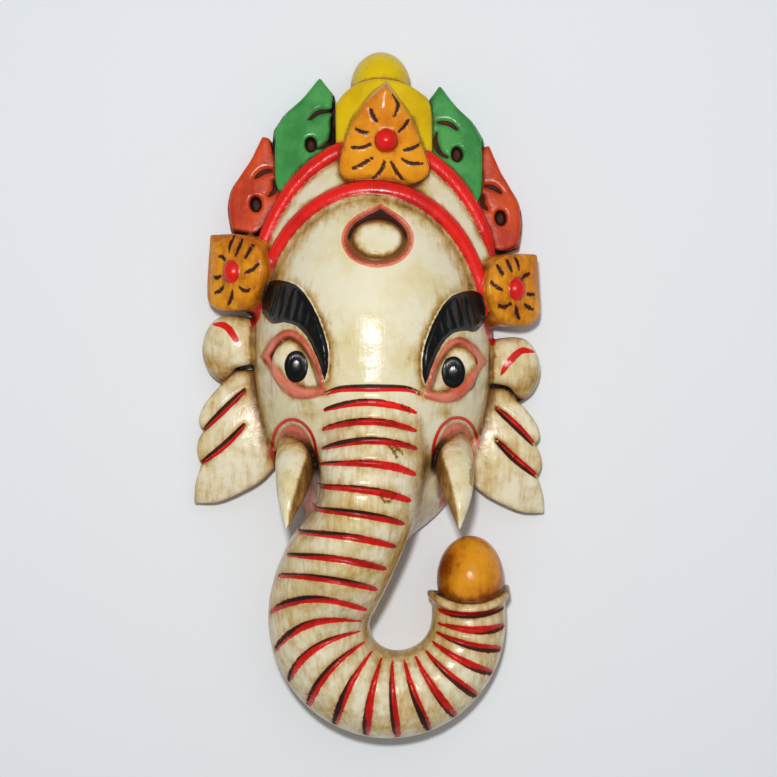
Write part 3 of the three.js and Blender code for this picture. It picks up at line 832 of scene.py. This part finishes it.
def paint(p, normal):
    """The painted layers and the stain with its painted shade, as values for each point of the mesh."""
    q = p[:, :2]
    forms = colours_at(p)
    everywhere = slice(None)

    def clear_of(colour):
        return np.min([d for c, d in forms.items() if c != colour], axis=0)

    painted = [colour for colour in FORMS if colour not in ("cream", "ivory")]
    layers = {colour: clear_of(colour) - forms[colour] for colour in painted}
    for name in ("pink", "black", "dark"):
        layers[name] = np.full(len(p), UNPAINTED)
    red, pink, black, dark = (layers[name] for name in ("red", "pink", "black", "dark"))
    stain_and_shade = np.zeros(len(p))
    on_cream = clear_of("cream") - forms["cream"]
    on_tusk = clear_of("ivory") - forms["ivory"] > 0
    trunk_gap = np.full(len(p), FAR)
    head_edge = ellipse_distance(q, HEAD["centre"][:2], HEAD["radii"][:2])

    def put(layer, indices, value, where=None):
        if where is not None:
            value = np.minimum(value, where[indices])
        layer[indices] = np.maximum(layer[indices], value)

    def darken_where(inside, value, indices=everywhere):
        put(stain_and_shade, indices, np.where(inside, value, 0))

    def along_line(line):
        smooth = spline(line)
        i = near(q, smooth)
        return i, *line_distance(q[i], smooth)

    def stroke(layer, line, half, where):
        i, d, t = along_line(line)
        put(layer, i, half * np.sqrt(np.clip(np.sin(np.pi * t), 0.01, 1)) - d, where)

    def petal_cuts(form, i, w, side):
        """Paint the cuts of a blossom, and tell how far inside them its points lie."""
        cuts = petal_depth(form, w[:, :2], side) * PETAL["half"] - PETAL["unpainted"]
        front = w[:, 2] > form["thick"] - PETAL["painted_down"]
        put(dark, i, np.where(front, cuts, UNPAINTED), layers["ochre"])
        return cuts

    # Where forms meet it is darker, as old varnish and painted shade in the seams, and the steep sides get
    # painted shade
    put(stain_and_shade, everywhere, darkening_near("cream_seam", np.abs(on_cream)))
    for colour in painted:
        put(stain_and_shade, everywhere, darkening_near("paint_seam", np.abs(layers[colour])))
    put(stain_and_shade, everywhere, TINT["steep"] * ramp(normal[:, 2], 0.65, 0.1))

    # Rings of the trunk: a red side and a dark side, the dark one mostly on the outside of the curl
    i = near(p, TRUNK_PLAN)
    along, across = trunk_place(q[i])
    half = eased(TRUNK["half_width"], np.clip(along / TRUNK_LENGTH, 0, 1))
    u = np.clip(across / half, -1.3, 1.3)
    offset = ring_offset(along, u)
    tapered = RING["half"] * np.sqrt(ring_fade(u))
    trunk_gap[i] = trunk(p[i])
    ringed = (trunk_gap[i] < 3.5) & (p[i, 2] > 8)
    on_trunk = np.where(ringed, np.minimum(on_cream[i], 1.0), UNPAINTED)
    put(red, i, np.minimum(tapered - 0.1 - np.abs(offset - 0.15), on_trunk))
    share = np.clip(0.34 - 0.4 * u + 0.2 * np.sin(along * 0.35), 0.05, 0.75)
    put(dark, i, np.minimum(share * tapered * 0.8 - np.abs(offset + tapered * (1 - share)), on_trunk))
    # Painted shade on the trunk's flanks, which turn away from the light, and darkening along the rings
    edge = np.maximum(0.65 * ramp(u, 0.55, 0.95), 0.4 * ramp(-u, 0.7, 1.0))
    flank_shade_and_rings = np.maximum(edge, 0.3 + darkening_near("ring", np.abs(offset)))
    put(stain_and_shade, i, flank_shade_and_rings * ramp(trunk_gap[i], 4, 0) * ramp(along, 8, 30))

    for side in SIDES:
        # Ear and lobe
        for line in EAR["cuts"]:
            cut = placed(line, side["ear"], side)
            stroke(red, cut, STROKES["ear_cut"], on_cream)
            stroke(dark, cut + np.array(side["shade"]), STROKES["ear_shade"], on_cream)
        stroke(red, side["lobe_stroke"], STROKES["lobe"], on_cream)
        stroke(red, side["strip"], STROKES["strip"], on_cream)
        i, d = loop_on_side(q, LOBE["runs"], side["lobe"], side)
        w = (q[i] - side["lobe"]) * (side["sign"], 1)
        # Painted shade on the lobe's lower, outer bulge, over an even tint
        lobe_tint_and_shade = TINT["lobe"] + 0.4 * ramp(0.55 * w[:, 0] - w[:, 1], 6, 22)
        darken_where(d < 1, lobe_tint_and_shade, i)
        i, d = loop_on_side(q, EAR["runs"], side["ear"], side)
        # Painted shade on the ear next to the head, and darkening along its rim
        ear_shade_and_rim = np.maximum(darkening_near("ear_root", np.maximum(head_edge[i], 0)), darkening_near("ear_rim", -d))
        darken_where((d < 1) & (head_edge[i] > -2), np.maximum(ear_shade_and_rim, TINT["ear"]), i)

        # Tusk, its socket, and the gum below it
        d = ellipse_distance(q, side["socket"], SOCKET["radii"])
        upper = q[:, 1] - side["socket"][1] - SOCKET["foot"]
        put(red, everywhere, np.minimum(np.minimum(SOCKET["line"] - np.abs(d), upper), -head_edge), on_cream)
        put(pink, everywhere, -d - 2.6, on_cream)
        darken_where(on_cream > 0, darkening_near("socket", np.abs(d + 8)))
        centre, radii = side["gum"]
        put(pink, everywhere, np.minimum(-ellipse_distance(q, centre, radii), trunk_gap - 1), on_cream)
        # A dark patch of painted shade in the recess between tusk and trunk, above the gum
        hollow = np.add(centre, (0, 10))
        darken_where(on_cream > 0.3, 1.3 * ramp(-ellipse_distance(q, hollow, np.add(radii, 2)), -3, 3))
        root = side["tusk"][0][1]
        # Painted shade on the tusk's facet that faces the trunk and on its top, under the cheek
        facing = -side["sign"] * normal[:, 0]
        tusk_shade = np.maximum(0.85 * ramp(facing, 0.45, 0.8), 0.7 * ramp(q[:, 1], root - 4, root + 8))
        darken_where(on_tusk & (np.sign(q[:, 0]) == side["sign"]), np.maximum(tusk_shade, TINT["tusk"]))

        # Eye and brow
        i, outer = loop_on_side(q, LID["runs"], side["eye"], side)
        inner = loop_distance(q[i], placed(outline(LID["opening"]), side["eye"], side))
        put(pink, i, np.minimum(0.5 - outer, inner + 0.4))
        put(stain_and_shade, i, np.maximum(darkening_near("opening", np.abs(inner + 0.8)), darkening_near("lid", np.abs(outer))))
        i, d = loop_on_side(q, BROW["runs"], side["eye"], side)
        put(black, i, 0.3 - d)
        inward = 0.55 + 0.45 * np.clip(-(q[i, 0] - side["eye"][0]) * side["sign"] / 14, -1, 1)
        put(stain_and_shade, i, inward * darkening_near("brow", np.maximum(d - 1.2, 0)) * ramp(d, 0.4, 1.4))
        put(black, everywhere, -ellipse_distance(q, side["pupil"], PUPIL["radii"]))
        # Painted shade below the lids
        for middle, radius, strength in SHADE_BELOW_EYES:
            away = np.linalg.norm(q - placed([middle], side["eye"], side)[0], axis=1)
            darken_where(on_cream > 0, strength * np.exp(-((away / radius) ** 2)))

        # Flower and leaves
        i = near_flower(p, side)
        cuts = petal_cuts(FLOWER, i, flower_frame(p[i], side), side)
        darken_where(layers["ochre"][i] > 0, TINT["flower"] + 0.5 * ramp(cuts, -1.2, 0.2), i)
        for form, colour in ((GREEN_LEAF, "green"), (VERMILION_LEAF, "vermilion")):
            lines, pit = scrolls(form, colour, side)
            for line in lines:
                stroke(dark, line, STROKES["scroll"], layers[colour])
            put(dark, everywhere, 0.2 - ellipse_distance(q, pit, PIT["radii"]), layers[colour])
            darken_where(layers[colour] > 0, TINT["leaf"])

    i = near(p, JEWEL["box"])
    cuts = petal_cuts(JEWEL, i, jewel_frame(p[i]), WHOLE)
    darken_where(layers["ochre"][i] > 0, 0.3 * ramp(cuts, -2, 0.2), i)

    # Third eye, and the darkening across the head: old varnish and painted shade under the roll and towards
    # the head's edge
    groove = third_eye_distance(q, THIRD_EYE["groove"])
    button = ellipse_distance(q, THIRD_EYE["at"], THIRD_EYE["button"])
    put(pink, everywhere, THIRD_EYE["line"] - np.abs(groove - 0.4), on_cream)
    roof = 0.14 * (q[:, 1] - THIRD_EYE["at"][1])
    put(dark, everywhere, np.minimum(np.minimum(-groove - 1.0, button - 0.4), roof), on_cream)
    darken_where(groove < 0.5, darkening_near("third_eye", np.maximum(-button, 0)))
    inside_roll = np.subtract(INNER_ARCH["radii"], INNER_ARCH["roll"])
    brow_edge = ellipse_distance(q, INNER_ARCH["centre"], inside_roll)
    darken_where(q[:, 1] > INNER_ARCH["centre"][1], darkening_near("under_roll", np.abs(brow_edge)))
    on_cheek = (head_edge < 0) & (q[:, 1] < DIADEM_LOWEST) & (on_cream > 0) & (trunk_gap > 2)
    darken_where(on_cheek, darkening_near("cheek", -head_edge))
    # Painted shade on the sweet's flank that faces left, over an even tint
    darken_where(layers["amber"] > 0, TINT["sweet"] + 0.4 * ramp(-normal[:, 0], 0.2, 0.8))
    # The knob is darker along the groove at its base and towards its top
    i, d, _ = along_line(KNOB_GROOVE)
    knob_darkening = np.maximum(darkening_near("knob", d), 0.3 * ramp(q[i, 1], 172, 176))
    darken_where(layers["yellow"][i] > 0, knob_darkening, i)
    for line in CHIPS:
        i, d, _ = along_line(line)
        put(stain_and_shade, i, 1.2 * ramp(d, 1.1, 0.2))
    for layer, (shift, half) in ((red, BROW_LINE_RED), (dark, BROW_LINE_DARK)):
        stroke(layer, np.add(BROW_LINE, (0, shift)), half, on_cream)

    result = {"paint_" + name: np.clip(value, UNPAINTED, -UNPAINTED) for name, value in layers.items()}
    result["stain_and_shade"] = stain_and_shade
    return result


def edge_wear(p, normal):
    """1 on sharp outer edges, where little wood lies under the surface, and 0 on the flat."""
    return np.clip((mask_distance(p - normal * WEAR["probe"]) + WEAR["from"]) / WEAR["over"], 0, 1)


def cavity(p, normal):
    """How shut in each point is, from 0 in the open to 1 in a crease."""
    shut = np.zeros(len(p))
    for distance, weight in PROBES:
        clear = mask_distance(p + normal * distance)
        shut += weight * np.clip(1 - clear / distance, 0, 1)
    return shut


# Build the mesh

def put_in_scene(name, data):
    made = bpy.data.objects.new(name, data)
    bpy.context.scene.collection.objects.link(made)
    return made


origin, field = sample_field()
points, quads = net(origin, field)
for _ in range(2):
    value, normal, size = slope_at(points)
    points = points - normal * np.clip(value / np.maximum(size, 0.5), -STEP, STEP)[:, None] * SETTLE
points[:, 2] = np.maximum(points[:, 2], 0)

mesh = bpy.data.meshes.new("mask_carving")
mesh.from_pydata((points * MM).tolist(), [], quads.tolist())
mesh.update()
mask = put_in_scene("mask_carving", mesh)

# Thin the back and the hollow, which are plain, and keep the carved front
from_hollow = oval_distance(points, HOLLOW)
plain = (points[:, 2] < PLAIN["back"]) | (from_hollow < PLAIN["hollow"])
mask.vertex_groups.new(name="plain").add(np.nonzero(plain)[0].tolist(), 1.0, "REPLACE")
thin = mask.modifiers.new("thin", "DECIMATE")
thin.ratio = min(1.0, TRIANGLES / (2 * len(quads)))
thin.vertex_group = "plain"
thin.use_collapse_triangulate = True
shown = bpy.data.meshes.new_from_object(mask.evaluated_get(bpy.context.evaluated_depsgraph_get()))
mask.modifiers.clear()
mask.vertex_groups.clear()
mask.data = shown
shown.name = "mask_carving"
bpy.data.meshes.remove(mesh)
shown.polygons.foreach_set("use_smooth", np.ones(len(shown.polygons), bool))

final = np.zeros(len(shown.vertices) * 3)
shown.vertices.foreach_get("co", final)
final = final.reshape(-1, 3) / MM
_, normal, _ = slope_at(final)
edges = np.zeros(len(shown.edges) * 2, np.int64)
shown.edges.foreach_get("vertices", edges)
edges = edges.reshape(-1, 2)


def store(name, values):
    attribute = shown.attributes.new(name, "FLOAT", "POINT")
    attribute.data.foreach_set("value", np.asarray(values, np.float32))


def softened(values, rounds):
    """Values averaged with those of the neighbouring points."""
    for _ in range(rounds):
        total = values.copy()
        count = np.ones(len(values))
        for a, b in ((0, 1), (1, 0)):
            np.add.at(total, edges[:, a], values[edges[:, b]])
            np.add.at(count, edges[:, a], 1)
        values = total / count
    return values


for name, values in paint(final, normal).items():
    store(name, values)
# How shut in each point is, which the material turns into old varnish and painted shade in the creases
store("shut_in", softened(cavity(final, normal), 3))
store("edge_wear", softened(edge_wear(final, normal), 1))
store("bare_wood", ramp(-oval_distance(final, HOLLOW), -3.0, -1.0))


# Material

class Nodes:
    """Short names for making shader nodes and joining them."""

    def __init__(self, name):
        self.material = bpy.data.materials.new(name)
        self.material.use_nodes = True
        self.tree = self.material.node_tree
        self.shader = self.tree.nodes["Principled BSDF"]

    def make(self, kind, inputs=(), **settings):
        node = self.tree.nodes.new("ShaderNode" + kind)
        for key, value in settings.items():
            setattr(node, key, value)
        for key, value in dict(inputs).items():
            if isinstance(value, bpy.types.NodeSocket):
                self.tree.links.new(value, node.inputs[key])
            else:
                node.inputs[key].default_value = value
        return node

    def feed(self, socket, value):
        self.tree.links.new(value, self.shader.inputs[socket])

    def attribute(self, name):
        return self.make("Attribute", attribute_name=name).outputs["Fac"]

    def math(self, operation, a, b):
        return self.make("Math", {0: a, 1: b}, operation=operation).outputs[0]

    def plus(self, a, b):
        return self.math("ADD", a, b)

    def times(self, a, b):
        return self.math("MULTIPLY", a, b)

    def map(self, value, start, end, low=0.0, high=1.0):
        inputs = {"Value": value, "From Min": start, "From Max": end, "To Min": low, "To Max": high}
        return self.make("MapRange", inputs, interpolation_type="SMOOTHSTEP").outputs["Result"]

    def mix(self, factor, a, b, blend="MIX"):
        inputs = {0: factor, 6: a, 7: b}
        return self.make("Mix", inputs, data_type="RGBA", blend_type=blend).outputs[2]

    def noise(self, vector, scale, detail=4.0, roughness=0.6):
        inputs = {"Vector": vector, "Scale": scale, "Detail": detail, "Roughness": roughness}
        return self.make("TexNoise", inputs).outputs["Fac"]


def srgb(r, g, b):
    """A colour given as 0 to 255 values, as the renderer's linear ones."""
    linear = [(v / 255 / 12.92 if v < 10.3 else ((v / 255 + 0.055) / 1.055) ** 2.4) for v in (r, g, b)]
    return (*linear, 1.0)


CREAM = srgb(238, 229, 198)
CREAM_WARM = srgb(228, 213, 164)
TAN = srgb(186, 140, 52)
BROWN = srgb(108, 62, 22)
DEEP_BROWN = srgb(40, 20, 11)
AGED_AND_SHADED = srgb(150, 108, 78)
# Each paint, a second tone of it, and how much age and painted shade darken it
PAINT = (
    ("green", srgb(76, 160, 80), srgb(54, 132, 62), 0.8),
    ("vermilion", srgb(212, 74, 26), srgb(184, 54, 24), 0.8),
    ("yellow", srgb(230, 196, 10), srgb(212, 172, 8), 0.8),
    ("ochre", srgb(240, 160, 30), srgb(222, 128, 18), 0.8),
    ("amber", srgb(228, 152, 30), srgb(190, 100, 14), 0.8),
    ("pink", srgb(236, 138, 108), srgb(218, 100, 68), 0.55),
    ("red", srgb(234, 34, 24), srgb(208, 26, 20), 0.65),
    ("dark", srgb(74, 32, 20), srgb(48, 20, 14), 0.5),
    ("black", srgb(10, 9, 9), srgb(16, 15, 15), 0.5),
)
BARE = srgb(176, 132, 84)
BARE_DARK = srgb(128, 88, 50)
BARE_SHADED = srgb(74, 48, 28)

nodes = Nodes("painted_wood")
place = nodes.make("TexCoord").outputs["Object"]
grain_map = nodes.make("Mapping", {"Vector": place, "Scale": (1.0, 0.14, 1.0)}).outputs[0]
grain = nodes.noise(grain_map, 330.0, 6.0, 0.65)
cloud = nodes.noise(place, 42.0, 5.0, 0.62)
patch = nodes.noise(place, 120.0, 5.0, 0.65)
speck = nodes.noise(place, 300.0, 3.0, 0.55)
wobble = nodes.times(nodes.math("SUBTRACT", nodes.noise(place, 240.0, 2.0), 0.5), 0.7)

colour = nodes.mix(nodes.map(cloud, 0.4, 0.66), CREAM, CREAM_WARM)
mottle = nodes.math("SUBTRACT", nodes.plus(grain, patch), 1.0)
# Age and painted shade: the stain and its painted shade, mottling, and the creases
age_and_shade = nodes.plus(nodes.attribute("stain_and_shade"), nodes.times(mottle, 0.9))
age_and_shade = nodes.plus(age_and_shade, nodes.times(nodes.math("SUBTRACT", cloud, 0.5), 0.5))
shut = nodes.attribute("shut_in")
age_and_shade = nodes.plus(age_and_shade, nodes.times(shut, 0.8))
colour = nodes.mix(nodes.times(nodes.map(age_and_shade, 0.12, 0.75), 0.85), colour, TAN)
colour = nodes.mix(nodes.times(nodes.map(age_and_shade, 0.55, 1.15), 0.9), colour, BROWN)
for name, main, second, darkens_by in PAINT:
    uneven_edge = nodes.times(wobble, 0.3) if name == "dark" else wobble
    layer = nodes.plus(nodes.attribute("paint_" + name), uneven_edge)
    tone = nodes.mix(nodes.map(cloud, 0.4, 0.66), main, second)
    tone = nodes.mix(nodes.times(nodes.map(age_and_shade, 0.3, 0.95), darkens_by), tone, AGED_AND_SHADED, "MULTIPLY")
    colour = nodes.mix(nodes.map(layer, -0.2, 0.2), colour, tone)
uneven_wear = nodes.times(nodes.math("SUBTRACT", patch, 0.5), 3.2)
chipped = nodes.plus(nodes.attribute("edge_wear"), uneven_wear)
colour = nodes.mix(nodes.times(nodes.map(chipped, 1.15, 1.35), 0.75), colour, BROWN)
# The deepest creases turn deep brown: old varnish and painted shade
colour = nodes.mix(nodes.map(shut, 0.5, 0.9), colour, DEEP_BROWN)
wood = nodes.mix(nodes.map(grain, 0.4, 0.65), BARE, BARE_DARK)
height = nodes.make("SeparateXYZ", {0: place}).outputs["Z"]
# Painted shade: the bare wood darker deeper inside the hollow
wood = nodes.mix(nodes.map(height, 1.5 * MM, 50 * MM, 0.0, 0.8), wood, BARE_SHADED)
back = nodes.map(height, 0.2 * MM, 1.2 * MM, 1.0, 0.0)
bare = nodes.math("MAXIMUM", nodes.attribute("bare_wood"), back)
colour = nodes.mix(bare, colour, wood)
nodes.feed("Base Color", colour)
gloss = nodes.map(speck, 0.3, 0.7, 0.15, 0.27)
dull = nodes.plus(nodes.plus(bare, shut), nodes.map(nodes.attribute("paint_dark"), -0.2, 0.5))
rough = nodes.plus(gloss, nodes.times(dull, 0.4))
nodes.feed("Roughness", rough)
nodes.shader.inputs["Specular IOR Level"].default_value = 0.3
uneven = nodes.plus(nodes.times(grain, 0.5), nodes.noise(place, 90.0, 4.0))
bump = nodes.make("Bump", {"Height": uneven, "Strength": 0.3, "Distance": 0.0012})
nodes.feed("Normal", bump.outputs[0])
shown.materials.clear()
shown.materials.append(nodes.material)

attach(mask, "root")
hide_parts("mask")

# Floor, light and camera
FLOOR_HALF = 3.0
corners = [(x * FLOOR_HALF, y * FLOOR_HALF, 0) for x, y in ((-1, -1), (1, -1), (1, 1), (-1, 1))]
floor_mesh = bpy.data.meshes.new("floor")
floor_mesh.from_pydata(corners, [], [(0, 1, 2, 3)])
floor = put_in_scene("floor", floor_mesh)
floor.location.z = cad_box[0][2] - 0.2 * MM
pale = Nodes("pale_floor")
pale.shader.inputs["Base Color"].default_value = srgb(236, 239, 242)
pale.shader.inputs["Roughness"].default_value = 0.7
floor_mesh.materials.append(pale.material)


LIT = Vector((0.0, 0.0, 0.03))


def area_light(name, position, size, energy):
    data = bpy.data.lights.new(name, "AREA")
    data.size = size
    data.energy = energy
    light = put_in_scene(name, data)
    light.location = position
    light.rotation_euler = (LIT - Vector(position)).to_track_quat("-Z", "Y").to_euler()


area_light("flash", position=(-0.03, 0.16, 1.36), size=0.07, energy=11.2)
area_light("soft", position=(0.3, 0.6, 1.8), size=1.6, energy=4.4)
world = bpy.data.worlds.new("studio")
world.use_nodes = True
background = world.node_tree.nodes["Background"]
background.inputs["Color"].default_value = (0.93, 0.96, 1.0, 1.0)
background.inputs["Strength"].default_value = 0.235
bpy.context.scene.world = world
bpy.context.scene.view_settings.view_transform = "Standard"

CAMERA_AT = (10.8, 3.3, 1320.0)
VIEW_WIDTH = 431.2  # what the picture's width spans at this height above the floor
VIEW_HEIGHT = 20
data = bpy.data.cameras.new("camera")
data.sensor_width = 36.0
data.lens = data.sensor_width * (CAMERA_AT[2] - VIEW_HEIGHT) / VIEW_WIDTH
camera = put_in_scene("camera", data)
camera.location = Vector(CAMERA_AT) * MM
bpy.context.scene.camera = camera
